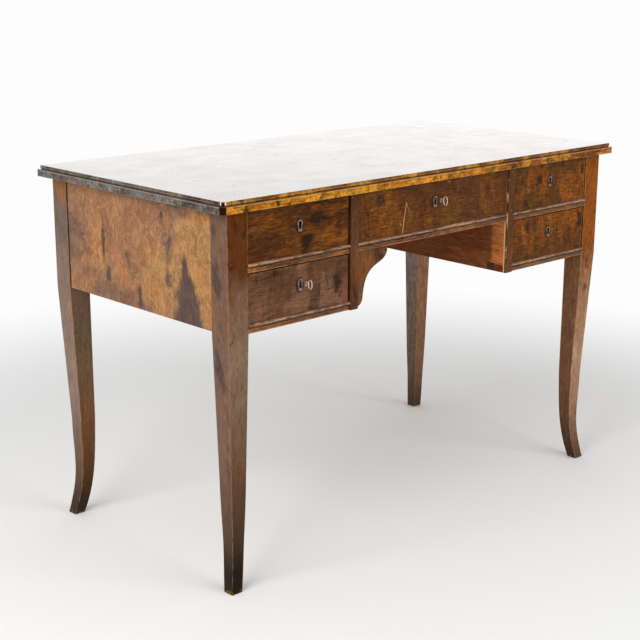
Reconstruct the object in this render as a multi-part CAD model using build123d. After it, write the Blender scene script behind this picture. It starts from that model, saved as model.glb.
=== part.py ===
"""Kneehole writing desk with five drawers on four swept, tapering legs.

X runs along the desk, the drawers face -Y and open that way, Z is up. The origin
is on the floor at the middle of the space the desk takes up, from the bows of its
keys to the back edge of its top. All sizes are in millimetres.
"""
from build123d import *
import os

os.makedirs("parts", exist_ok=True)

# ---- overall -------------------------------------------------------------------
LENGTH = 1150.0
DEPTH = 595.0
HEIGHT = 760.0

# ---- top: a square lower band under a set-back upper band ----------------------
TOP_THICK = 22.5
TOP_BAND_H = 14.5
TOP_STEP = 4.5
TOP_QUIRK = 1.2
TOP_CANT = 9.0
TOP_CORNER_R = 2.5
TOP_EASE = 1.5
SIDE_OVERHANG = 24.0
FRONT_OVERHANG = 18.0
BACK_OVERHANG = 18.5

# ---- legs: square in the carcass, sawn to a swept taper below ------------------
LEG_W = 47.5
TAPER_DROP = 0.5
TAPER_END = 215.0
TAPER_IN = 12.2
FOOT_W = 24.3
FOOT_IN = 1.2
# outer and inner face of the sweep below TAPER_END: (distance in, height)
SWEEP_OUTER = [(13.9, 140.0), (13.2, 80.0), (8.1, 38.0)]
SWEEP_INNER = [(45.2, 140.0), (40.7, 80.0), (34.3, 38.0)]

# ---- carcass boards --------------------------------------------------------------
END_THICK = 18.0
END_UP = 4.2
PANEL_SET = 1.0
PANEL_GAP = 2.5
TONGUE_T = 8.0
TONGUE_L = 12.0
BACK_THICK = 18.0
PARTITION_THICK = 20.0
KNEEHOLE_W = 450.0

# ---- facing strips on the partitions' front edges --------------------------------
FACING_W = 22.0
FACING_T = 7.5
FACING_PROUD = 3.0
FACING_EASE = 1.5

# ---- drawer rails ----------------------------------------------------------------
RAIL_T = 18.0
RAIL_D = 50.0
LOWER_OPENING = 95.0
UPPER_OPENING = 99.5
BEAD_H = 8.0
BEAD_PROUD = 2.4
QUIRK_H = 1.5
QUIRK_D = 1.8
RAIL_EASE = 1.2
TENON_T = 9.0
TENON_W = 30.0
TENON_L = 22.0
STUB_L = 10.0
THROUGH_TENON_W = 24.0

# ---- shaped bracket under the centre rail ----------------------------------------
BRACKET_W = 89.5
BRACKET_T = 30.0
BRACKET_SET = 10.0
BRACKET_NOSE = 11.0
BRACKET_FOOT = 5.0
# ogee from the nose down: (distance from the partition, height over its foot)
BRACKET_OGEE = [(78.3, 87.5), (55.3, 77.0), (33.6, 59.0), (24.6, 36.0)]
BRACKET_TOE = [(21.6, 18.0), (16.0, 5.0)]

# ---- runners, guides, stops and blocks -------------------------------------------
RUNNER_OUT_W = 47.0
RUNNER_IN_W = 20.0
GUIDE_H = 12.0
GUIDE_GAP = 1.2
STOP = (25.0, 25.0, 3.0)
STOP_INSET = 25.0
REST_GAP = 0.3
BLOCK = (20.0, 60.0, 20.0)
BLOCK_PITCH = 160.0

# ---- drawers ---------------------------------------------------------------------
FRONT_T = 20.0
FRONT_SET = 0.5
GAP_LEFT = 0.7
GAP_RIGHT = 3.5
GAP_RIGHT_CENTRE = 4.5
GAP_TOP = 1.6
SIDE_T = 9.0
SIDE_DROP = 5.0
DRAWER_BACK_GAP = 19.0
DBACK_T = 9.0
DBACK_DROP = 4.0
BOTTOM_T = 6.0
BOTTOM_UP = 7.0
GROOVE_D = 4.5
TAILS = 3
TAIL_LEN = 13.0
TAIL_TIP = 0.72
TAIL_ROOT = 0.54

# ---- locks, keyholes and keys ----------------------------------------------------
PIN_DROP_UPPER = 39.4
PIN_DROP_LOWER = 34.8
LOCK_PLATE_W = 64.0
LOCK_PLATE_T = 1.5
LOCK_FOOT = 27.0
CASE_WALL = 1.5
CASE_DEPTH = 9.5
BOLT_T = 4.4
BOLT_W = 44.0
BOLT_FOOT = 22.0
BOLT_SHOULDER = 14.0
BOLT_NOSE_W = 26.0
BOLT_THROW = 7.0
BOLT_RUN = 0.3
WINDOW_R = 9.5
STRIKE_GAP = 1.0
STRIKE_DEEP = 3.0
KEYHOLE_R = 3.8
SLOT_W = 5.2
SLOT_DROP = 11.0
PLATE_R = 6.8
PLATE_WAIST_W = 8.8
PLATE_WAIST_DROP = 6.5
PLATE_FOOT_W = 11.8
PLATE_DROP = 16.0
PLATE_T = 2.0
PLATE_PROUD = 0.4
KEY_R = 2.2
KEY_COLLAR_R = 3.7
KEY_COLLAR_L = 1.8
KEY_COLLAR_OUT = 15.5
KEY_BIT = (2.4, 4.4, 6.0)
KEY_GAP = 0.85
BOW_OUT = 26.2
BOW_H = 18.4
BOW_L = 9.6
BOW_WIRE = 1.0
BOW_ROUND = 0.6

# ---- lines that several pieces share ---------------------------------------------
TOP_UNDER = HEIGHT - TOP_THICK
KEY_REACH = BOW_OUT + BOW_L / 2 + BOW_WIRE - FRONT_OVERHANG
TOP_FRONT_Y = (KEY_REACH - DEPTH) / 2
TOP_BACK_Y = TOP_FRONT_Y + DEPTH
LEG_X = LENGTH / 2 - SIDE_OVERHANG
LEG_IN_X = LEG_X - LEG_W
FRONT_Y = TOP_FRONT_Y + FRONT_OVERHANG
BACK_Y = TOP_BACK_Y - BACK_OVERHANG
KNEE_X = KNEEHOLE_W / 2
PART_X = KNEE_X + PARTITION_THICK
FACING_X = KNEE_X + FACING_W
FACING_Y = FRONT_Y - FACING_PROUD
PART_Y = FACING_Y + FACING_T
MID_RAIL_TOP = TOP_UNDER - UPPER_OPENING
MID_RAIL_Z = MID_RAIL_TOP - RAIL_T
LOW_RAIL_TOP = MID_RAIL_Z - LOWER_OPENING
PEDESTAL_BOTTOM = LOW_RAIL_TOP - RAIL_T
END_BOTTOM = PEDESTAL_BOTTOM + END_UP
TAPER_TOP = PEDESTAL_BOTTOM - TAPER_DROP
END_OUT = LEG_X - PANEL_SET
END_IN = END_OUT - END_THICK
BACK_OUT = BACK_Y - PANEL_SET
BACK_IN = BACK_OUT - BACK_THICK
RAIL_BACK = FRONT_Y + RAIL_D
FRONT_FACE = FRONT_Y + FRONT_SET
FRONT_BACK = FRONT_FACE + FRONT_T
DRAWER_BACK = BACK_IN - DRAWER_BACK_GAP
RUNNER_END = BACK_Y - LEG_W
GUIDE_X = LEG_IN_X + GUIDE_GAP - GAP_LEFT


def board(x, y, z):
    """A box between two values on each axis."""
    size = (x[1] - x[0], y[1] - y[0], z[1] - z[0])
    middle = ((x[0] + x[1]) / 2, (y[0] + y[1]) / 2, (z[0] + z[1]) / 2)
    return Pos(*middle) * Box(*size)


def beside(side, near, far):
    """The X span from near to far on the left (-1) or right (+1) of the desk."""
    return tuple(sorted((side * near, side * far)))


def outline(points):
    """A closed face through straight corners."""
    return make_face(Polyline(*points, close=True))


def save(name, *solids):
    """Write one node, as one solid or as several that stay separate."""
    shape = solids[0] if len(solids) == 1 else Compound(children=list(solids))
    export_step(shape, f"parts/{name}.step")


# ---- top -------------------------------------------------------------------------
def top_slab(inset, z0, z1):
    """One band of the top: its front left corner is canted, the others are eased."""
    slab = board((-LENGTH / 2 + inset, LENGTH / 2 - inset),
                 (TOP_FRONT_Y + inset, TOP_BACK_Y - inset), (z0, z1))
    corners = slab.edges().filter_by(Axis.Z).sort_by(lambda e: e.center().X + e.center().Y)
    slab = fillet(corners[1:], TOP_CORNER_R)
    near = slab.edges().filter_by(Axis.Z).sort_by(lambda e: e.center().X + e.center().Y)[0]
    return chamfer(near, TOP_CANT - inset * 0.6)


def make_top():
    band_top = TOP_UNDER + TOP_BAND_H
    lower = top_slab(0.0, TOP_UNDER, band_top)
    lower = fillet(lower.faces().sort_by(Axis.Z)[-1].edges(), TOP_EASE)
    upper = top_slab(TOP_STEP, band_top + TOP_QUIRK, HEIGHT)
    upper = fillet(upper.faces().sort_by(Axis.Z)[-1].edges(), TOP_EASE)
    neck = top_slab(TOP_STEP + TOP_QUIRK, band_top, band_top + TOP_QUIRK)
    return lower + neck + upper


# ---- legs ------------------------------------------------------------------------
def leg_profile():
    """The swept side view of a leg; u runs inwards from its outer face."""
    outer = [(FOOT_IN, 0.0)] + SWEEP_OUTER[::-1] + [(TAPER_IN, TAPER_END)]
    inner = [(LEG_W, TAPER_END)] + SWEEP_INNER + [(FOOT_IN + FOOT_W, 0.0)]
    edges = [
        Spline(*outer),
        Polyline((TAPER_IN, TAPER_END), (0, TAPER_TOP), (0, TOP_UNDER),
                 (LEG_W, TOP_UNDER), (LEG_W, TAPER_END)),
        Spline(*inner),
        Line((FOOT_IN + FOOT_W, 0), (FOOT_IN, 0)),
    ]
    return make_face(edges)


def make_leg(side, end):
    """side is -1 left, +1 right; end is -1 front, +1 back. Sawn from both faces."""
    x_out = side * LEG_X
    y_out = FRONT_Y if end < 0 else BACK_Y
    profile = leg_profile()
    seen_front = Plane(origin=(x_out, y_out, 0), x_dir=(-side, 0, 0), z_dir=(0, side, 0))
    seen_side = Plane(origin=(x_out, y_out, 0), x_dir=(0, -end, 0), z_dir=(-end, 0, 0))
    leg = (extrude(seen_front * profile, LEG_W * 2, both=True)
           & extrude(seen_side * profile, LEG_W * 2, both=True))
    return leg


def end_tongues(side):
    """The end panel with its tongues; it has shrunk a little from the back leg."""
    mid = side * (END_OUT + END_IN) / 2
    body = board(beside(side, END_IN, END_OUT),
                 (FRONT_Y + LEG_W, BACK_Y - LEG_W - PANEL_GAP), (END_BOTTOM, TOP_UNDER))
    tongue = board((mid - TONGUE_T / 2, mid + TONGUE_T / 2),
                   (FRONT_Y + LEG_W - TONGUE_L, BACK_Y - LEG_W + TONGUE_L),
                   (END_BOTTOM, TOP_UNDER))
    return body + tongue


def back_boards():
    """A full-width board over the kneehole and one behind each pedestal."""
    mid = (BACK_OUT + BACK_IN) / 2
    reach = LEG_IN_X + TONGUE_L
    tongue_y = (mid - TONGUE_T / 2, mid + TONGUE_T / 2)
    upper = board((-LEG_IN_X, LEG_IN_X), (BACK_IN, BACK_OUT), (MID_RAIL_Z, TOP_UNDER))
    upper += board((-reach, reach), tongue_y, (MID_RAIL_Z, TOP_UNDER))
    boards = [upper]
    for side in (-1, 1):
        lower = board(beside(side, KNEE_X, LEG_IN_X), (BACK_IN, BACK_OUT),
                      (END_BOTTOM, MID_RAIL_Z))
        lower += board(beside(side, PART_X, reach), tongue_y, (END_BOTTOM, MID_RAIL_Z))
        boards.append(lower)
    return boards


# ---- partitions and rails --------------------------------------------------------
def make_facing(side):
    strip = board(beside(side, KNEE_X, FACING_X), (FACING_Y, PART_Y),
                  (PEDESTAL_BOTTOM, TOP_UNDER))
    arrises = strip.edges().filter_by(Axis.Z).sort_by(Axis.Y)[:2]
    return fillet(arrises, FACING_EASE)


def rail_section():
    """Bead, quirk and fillet on the front edge; u is outwards, v is up."""
    quirk_z = RAIL_T - BEAD_H
    u = 0.0
    lines = [
        Polyline((u, RAIL_T), (-RAIL_D, RAIL_T), (-RAIL_D, 0), (u - RAIL_EASE, 0),
                 (u, RAIL_EASE), (u, quirk_z - QUIRK_H), (u - QUIRK_D, quirk_z - QUIRK_H),
                 (u - QUIRK_D, quirk_z), (u, quirk_z)),
        ThreePointArc((u, quirk_z), (BEAD_PROUD, RAIL_T - BEAD_H / 2), (u, RAIL_T)),
    ]
    return make_face(lines)


def make_rail(x0, x1, z0):
    plane = Plane(origin=(x0, FRONT_Y, z0), x_dir=(0, -1, 0), z_dir=(-1, 0, 0))
    section = plane * rail_section()
    rail = extrude(section, x1 - x0, dir=(1, 0, 0))
    return rail


def stub(x0, x1, z0):
    """A tenon as wide as TENON_W, in the middle of a rail's thickness."""
    mid_y = (FRONT_Y + RAIL_BACK) / 2
    mid_z = z0 + RAIL_T / 2
    return board((x0, x1), (mid_y - TENON_W / 2, mid_y + TENON_W / 2),
                 (mid_z - TENON_T / 2, mid_z + TENON_T / 2))


def pedestal_rail(side, z0, through):
    """A rail between a leg and a partition, notched round the facing."""
    rail = make_rail(*beside(side, PART_X, LEG_IN_X), z0)
    rail -= board(beside(side, KNEE_X, FACING_X), (FACING_Y, PART_Y),
                  (z0, z0 + RAIL_T))
    rail += stub(*beside(side, LEG_IN_X, LEG_IN_X + TENON_L), z0)
    if through:
        rail += board(beside(side, KNEE_X, PART_X),
                      (RAIL_BACK - THROUGH_TENON_W, RAIL_BACK), (z0, z0 + RAIL_T))
    else:
        rail += stub(*beside(side, PART_X - STUB_L, PART_X), z0)
    return rail


def centre_rail():
    rail = make_rail(-KNEE_X, KNEE_X, MID_RAIL_Z)
    for side in (-1, 1):
        rail += stub(*beside(side, KNEE_X, KNEE_X + PARTITION_THICK - STUB_L), MID_RAIL_Z)
    return rail


# ---- bracket ---------------------------------------------------------------------
def make_bracket():
    """The ogee bracket; u runs from the left partition towards the middle."""
    nose_z = MID_RAIL_Z - BRACKET_NOSE
    foot = (BRACKET_FOOT, PEDESTAL_BOTTOM)
    curve = [(u, PEDESTAL_BOTTOM + v) for u, v in BRACKET_OGEE]
    toe = [(u, PEDESTAL_BOTTOM + v) for u, v in BRACKET_TOE] + [foot]
    ogee = [(BRACKET_W, nose_z)] + curve + toe[:1]
    edges = [
        Polyline(foot, (0, PEDESTAL_BOTTOM), (0, MID_RAIL_Z),
                 (BRACKET_W, MID_RAIL_Z), (BRACKET_W, nose_z)),
        Spline(*ogee),
        Spline(*toe),
    ]
    front = FACING_Y + BRACKET_SET
    plane = Plane(origin=(-KNEE_X, front, 0), x_dir=(1, 0, 0), z_dir=(0, -1, 0))
    return extrude(plane * make_face(edges), -BRACKET_T)


# ---- drawers ---------------------------------------------------------------------
def drawer(name, x0, x1, z0, z1, pin_drop, pin_dx=0.0, keyed=False):
    """Sizes of one drawer from the ends of its opening."""
    right = GAP_RIGHT_CENTRE if name == "centre" else GAP_RIGHT
    left_x = x0 + GAP_LEFT
    right_x = x1 - right
    mid = (left_x + right_x) / 2
    return {"name": name, "x": (left_x, right_x), "z": (z0 + REST_GAP, z1 - GAP_TOP),
            "mid": mid, "pin": (mid + pin_dx, z1 - GAP_TOP - pin_drop),
            "keyed": keyed, "floor": z0}


DRAWERS = [
    drawer("left_upper", -LEG_IN_X, -FACING_X, MID_RAIL_TOP, TOP_UNDER,
           PIN_DROP_UPPER, 1.1),
    drawer("left_lower", -LEG_IN_X, -FACING_X, LOW_RAIL_TOP, MID_RAIL_Z,
           PIN_DROP_LOWER, 1.6, True),
    drawer("centre", -KNEE_X, KNEE_X, MID_RAIL_TOP, TOP_UNDER, PIN_DROP_UPPER, -1.8,
           True),
    drawer("right_upper", FACING_X, LEG_IN_X, MID_RAIL_TOP, TOP_UNDER,
           PIN_DROP_UPPER, -0.9),
    drawer("right_lower", FACING_X, LEG_IN_X, LOW_RAIL_TOP, MID_RAIL_Z,
           PIN_DROP_LOWER, 0.4),
]


def side_outline(d):
    """Side of a drawer seen from its end, with tails fore and aft; (y, z)."""
    y0, y1 = FRONT_BACK, DRAWER_BACK - DBACK_T
    z0, z1 = d["z"][0], d["z"][1] - SIDE_DROP
    pitch = (z1 - z0) / TAILS
    tip, root = pitch * TAIL_TIP / 2, pitch * TAIL_ROOT / 2
    front, back = [], []
    for i in range(TAILS):
        z = z0 + pitch * (i + 0.5)
        front += [(y0, z - root), (y0 - TAIL_LEN, z - tip), (y0 - TAIL_LEN, z + tip),
                  (y0, z + root)]
        back += [(y1, z - root), (y1 + DBACK_T, z - tip), (y1 + DBACK_T, z + tip),
                 (y1, z + root)]
    return [(y0, z0)] + front + [(y0, z1), (y1, z1)] + back[::-1] + [(y1, z0)]


def drawer_side(d, x0):
    plane = Plane(origin=(x0, 0, 0), x_dir=(0, 1, 0), z_dir=(1, 0, 0))
    return extrude(plane * outline(side_outline(d)), SIDE_T, dir=(1, 0, 0))


def keyhole(d, y0, y1, grow=0.0):
    """A keyhole through the given Y span: round over a flaring slot."""
    x, z = d["pin"]
    half, foot = SLOT_W / 2 + grow, SLOT_W * 0.62 + grow
    low = z - SLOT_DROP - grow
    plane = Plane(origin=(x, y0, z), x_dir=(1, 0, 0), z_dir=(0, -1, 0))
    slot = outline([(-half, 0), (-foot, low - z), (foot, low - z), (half, 0)])
    face = slot + make_face(CenterArc((0, 0), KEYHOLE_R + grow, 0, 360))
    return extrude(plane * face, y0 - y1)


def plate_outline(d, y0, y1):
    """The outside of a keyhole plate: round head, waist and flaring foot."""
    x, z = d["pin"]
    plane = Plane(origin=(x, y0, z), x_dir=(1, 0, 0), z_dir=(0, -1, 0))
    waist, foot = PLATE_WAIST_W / 2, PLATE_FOOT_W / 2
    lower = outline([(-waist, 0), (-waist, -PLATE_WAIST_DROP), (-foot, -PLATE_DROP),
                     (foot, -PLATE_DROP), (waist, -PLATE_WAIST_DROP), (waist, 0)])
    lower = fillet(lower.vertices().sort_by(Axis.Y)[:2], foot * 0.6)
    face = lower + make_face(CenterArc((0, 0), PLATE_R, 0, 360))
    return extrude(plane * face, y0 - y1)


def lock_space(d):
    """The recess a lock takes in the back of its drawer front."""
    x, z = d["pin"]
    half = BOLT_W / 2 + BOLT_RUN + CASE_WALL
    plate = board((x - LOCK_PLATE_W / 2, x + LOCK_PLATE_W / 2),
                  (FRONT_BACK - LOCK_PLATE_T, FRONT_BACK), (z - LOCK_FOOT, d["z"][1]))
    case = board((x - half, x + half), (FRONT_BACK - CASE_DEPTH, FRONT_BACK),
                 (z - BOLT_FOOT - BOLT_RUN - CASE_WALL, d["z"][1]))
    return plate + case


def lock_hollow(d):
    """The room inside a lock's case, open through its top plate for the bolt."""
    x, z = d["pin"]
    half, nose = BOLT_W / 2 + BOLT_RUN, BOLT_NOSE_W / 2 + BOLT_RUN
    y = (FRONT_BACK - CASE_DEPTH + CASE_WALL, FRONT_BACK - LOCK_PLATE_T)
    room = board((x - half, x + half), y, (z - BOLT_FOOT - BOLT_RUN, d["z"][1] - CASE_WALL))
    return room + board((x - nose, x + nose), y, (z, d["z"][1]))


def key_way(d, y0, y1):
    """The lock's own keyhole, cut to the key with a running gap."""
    x, z = d["pin"]
    half = KEY_BIT[0] / 2 + KEY_GAP
    slot = board((x - half, x + half), (y0, y1), (z - KEY_R - KEY_BIT[2] - KEY_GAP, z))
    return slot + Pos(x, (y0 + y1) / 2, z) * Rot(90, 0, 0) * Cylinder(KEY_R + KEY_GAP, y1 - y0)


def make_lock(d):
    lock = lock_space(d) - lock_hollow(d)
    front = FRONT_BACK - CASE_DEPTH
    return lock - key_way(d, front, front + CASE_WALL)


def bolt_y():
    """Y span of a bolt, in the middle of its case."""
    mid = (FRONT_BACK - CASE_DEPTH + CASE_WALL + FRONT_BACK - LOCK_PLATE_T) / 2
    return (mid - BOLT_T / 2, mid + BOLT_T / 2)


def make_bolt(d):
    """A bolt with a window that the key's bit sweeps as it drives the bolt."""
    x, z = d["pin"]
    y = bolt_y()
    body = board((x - BOLT_W / 2, x + BOLT_W / 2), y, (z - BOLT_FOOT, z + BOLT_SHOULDER))
    nose = board((x - BOLT_NOSE_W / 2, x + BOLT_NOSE_W / 2), y,
                 (z + BOLT_SHOULDER, d["z"][1] - BOLT_RUN))
    window = board((x - WINDOW_R, x + WINDOW_R), y,
                   (z - BOLT_THROW - WINDOW_R, z + WINDOW_R))
    return body + nose - window


def strike(d, z0):
    """The mortise over a drawer that its bolt rises into."""
    x = d["pin"][0]
    y = bolt_y()
    half = BOLT_NOSE_W / 2 + STRIKE_GAP
    depth = BOLT_THROW - GAP_TOP - BOLT_RUN + STRIKE_DEEP
    return board((x - half, x + half), (y[0] - STRIKE_GAP, y[1] + STRIKE_GAP),
                 (z0, z0 + depth))


def make_key(d):
    """A key with its bit down and an oval bow in the same plane."""
    x, z = d["pin"]
    y = bolt_y()
    bow_y = FRONT_Y - BOW_OUT
    bow_in = bow_y + BOW_L / 2
    tip = y[1]
    shank = Pos(x, (bow_in + tip) / 2, z) * Rot(90, 0, 0) * Cylinder(KEY_R, tip - bow_in)
    collar = (Pos(x, FRONT_FACE - KEY_COLLAR_OUT, z) * Rot(90, 0, 0)
              * Cylinder(KEY_COLLAR_R, KEY_COLLAR_L))
    bit = board((x - KEY_BIT[0] / 2, x + KEY_BIT[0] / 2), y, (z - KEY_R - KEY_BIT[2], z))
    flat = Plane(origin=(x, bow_y, z), x_dir=(0, 1, 0), z_dir=(1, 0, 0))
    ring = (make_face(Edge.make_ellipse(BOW_L / 2 + BOW_WIRE, BOW_H / 2 + BOW_WIRE))
            - make_face(Edge.make_ellipse(BOW_L / 2 - BOW_WIRE, BOW_H / 2 - BOW_WIRE)))
    bow = extrude(flat * ring, BOW_WIRE, both=True)
    bow = fillet(bow.edges().filter_by(GeomType.ELLIPSE), BOW_WIRE * BOW_ROUND)
    return shank + collar + bit + bow


def make_drawer(d):
    """Front, two sides, back, bottom, lock, bolt and keyhole plate of a drawer."""
    x0, x1 = d["x"]
    z0, z1 = d["z"]
    bottom_z = (z0 + BOTTOM_UP, z0 + BOTTOM_UP + BOTTOM_T)
    back_y = (DRAWER_BACK - DBACK_T, DRAWER_BACK)
    bottom = board((x0 + SIDE_T - GROOVE_D, x1 - SIDE_T + GROOVE_D),
                   (FRONT_BACK - GROOVE_D, back_y[1]), bottom_z)
    sides = [drawer_side(d, x0), drawer_side(d, x1 - SIDE_T)]
    back = board((x0, x1), back_y, (bottom_z[1], z1 - SIDE_DROP - DBACK_DROP))
    front = board((x0, x1), (FRONT_FACE, FRONT_BACK), (z0, z1))
    for side in sides:
        front -= side
        back -= side
    sides = [side - bottom for side in sides]
    plate_y = (FRONT_FACE - PLATE_PROUD, FRONT_FACE + PLATE_T)
    plate = plate_outline(d, *plate_y)
    front -= bottom
    front -= lock_space(d)
    front -= plate
    front -= keyhole(d, plate_y[1], FRONT_BACK - CASE_DEPTH)
    save(f"{d['name']}_front", front)
    save(f"{d['name']}_sides", *sides)
    save(f"{d['name']}_back", back)
    save(f"{d['name']}_bottom", bottom)
    save(f"{d['name']}_keyhole_plate", plate - keyhole(d, *plate_y))
    save(f"{d['name']}_lock", make_lock(d))
    save(f"{d['name']}_bolt", make_bolt(d))
    if d["keyed"]:
        save(f"{d['name']}_key", make_key(d))


# ---- runners, guides, stops and blocks -------------------------------------------
def pedestal_runners():
    """Runners under each pedestal drawer, and a guide on each outer runner."""
    parts = []
    for side in (-1, 1):
        for z in (PEDESTAL_BOTTOM, MID_RAIL_Z):
            top = z + RAIL_T
            low = max(z, END_BOTTOM)
            outer = board(beside(side, END_IN - RUNNER_OUT_W, END_IN),
                          (RAIL_BACK, RUNNER_END), (low, top))
            inner = board(beside(side, PART_X, PART_X + RUNNER_IN_W),
                          (RAIL_BACK, BACK_IN), (low, top))
            guide = board(beside(side, GUIDE_X, END_IN), (RAIL_BACK, RUNNER_END),
                          (top, top + GUIDE_H))
            parts += [outer, inner, guide]
    return parts


def centre_runners():
    return [board(beside(side, KNEE_X - RUNNER_IN_W, KNEE_X), (RAIL_BACK, BACK_IN),
                  (MID_RAIL_Z, MID_RAIL_TOP)) for side in (-1, 1)]


def drawer_stops():
    """Two thin stops behind each drawer front, on the rail under it."""
    y0 = FRONT_BACK + REST_GAP
    stops = []
    for d in DRAWERS:
        inset = SIDE_T + STOP_INSET
        for x in (d["x"][0] + inset, d["x"][1] - inset):
            stops.append(board((x - STOP[0] / 2, x + STOP[0] / 2), (y0, y0 + STOP[1]),
                               (d["floor"], d["floor"] + STOP[2])))
    return stops


def glue_blocks():
    """Blocks in the corner of each end panel and the top."""
    blocks = []
    for side in (-1, 1):
        for step in (-1, 0, 1):
            y = (FRONT_Y + BACK_Y) / 2 + step * BLOCK_PITCH
            blocks.append(board(beside(side, END_IN - BLOCK[0], END_IN),
                                (y - BLOCK[1] / 2, y + BLOCK[1] / 2),
                                (TOP_UNDER - BLOCK[2], TOP_UNDER)))
    return blocks


# ---- assembly --------------------------------------------------------------------
top = make_top()
panels = {-1: end_tongues(-1), 1: end_tongues(1)}
backs = back_boards()
mid_rails = {side: pedestal_rail(side, MID_RAIL_Z, False) for side in (-1, 1)}
low_rails = {side: pedestal_rail(side, PEDESTAL_BOTTOM, True) for side in (-1, 1)}
middle = centre_rail()
SIDES = {-1: "left", 1: "right"}

for d in DRAWERS:
    mortise = strike(d, d["z"][1] + GAP_TOP)
    if d["floor"] == LOW_RAIL_TOP:
        side = -1 if d["mid"] < 0 else 1
        mid_rails[side] -= mortise
    else:
        top -= mortise
    make_drawer(d)

for side, word in SIDES.items():
    for end, place in ((-1, "front"), (1, "back")):
        leg = make_leg(side, end) - panels[side]
        if end < 0:
            leg = leg - mid_rails[side] - low_rails[side]
        else:
            for back in backs:
                leg -= back
        save(f"leg_{place}_{word}", leg)
    partition = board(beside(side, KNEE_X, PART_X), (PART_Y, BACK_IN),
                      (PEDESTAL_BOTTOM, TOP_UNDER))
    partition = partition - mid_rails[side] - low_rails[side] - middle
    save(f"partition_{word}", partition)
    save(f"facing_{word}", make_facing(side))
    save(f"end_panel_{word}", panels[side])
    save(f"rail_middle_{word}", mid_rails[side])
    save(f"rail_bottom_{word}", low_rails[side])

save("top", top)
save("back_boards", *backs)
save("rail_centre", middle)
save("bracket", make_bracket())
save("runners_pedestals", *pedestal_runners())
save("runners_centre", *centre_runners())
save("drawer_stops", *drawer_stops())
save("glue_blocks", *glue_blocks())
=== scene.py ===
"""Looks, light and camera for the kneehole writing desk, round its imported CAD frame."""
import math

import bpy
from mathutils import Matrix, Vector


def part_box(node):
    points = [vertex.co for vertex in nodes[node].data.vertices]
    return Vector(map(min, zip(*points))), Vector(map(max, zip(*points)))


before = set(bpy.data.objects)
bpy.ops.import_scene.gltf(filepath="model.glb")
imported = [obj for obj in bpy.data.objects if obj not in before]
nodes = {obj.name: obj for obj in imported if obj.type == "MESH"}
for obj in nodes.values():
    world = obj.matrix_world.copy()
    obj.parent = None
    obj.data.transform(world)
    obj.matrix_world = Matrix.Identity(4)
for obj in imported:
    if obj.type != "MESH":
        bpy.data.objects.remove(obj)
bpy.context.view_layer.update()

# ---- directions, and lines of the desk that the finish follows (metres) --------------
LEFT, FRONT, UP = (-1, 0, 0), (0, -1, 0), (0, 0, 1)
CANT = (-0.7071, -0.7071, 0)            # the way the canted corner faces
KNEE_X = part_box("partition_right")[0][0]   # the kneehole's half width
TOP_STEP = (0.7520, 0.7528)             # where the top's lower band ends
JOINT_Y = (0.2330, 0.2350)              # the panel's joint with the back leg


def srgb(code):
    """A linear colour from an sRGB hex code."""
    values = [int(code[i:i + 2], 16) / 255 for i in (0, 2, 4)]
    linear = [v / 12.92 if v <= 0.04045 else ((v + 0.055) / 1.055) ** 2.4 for v in values]
    return (*linear, 1.0)


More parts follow.
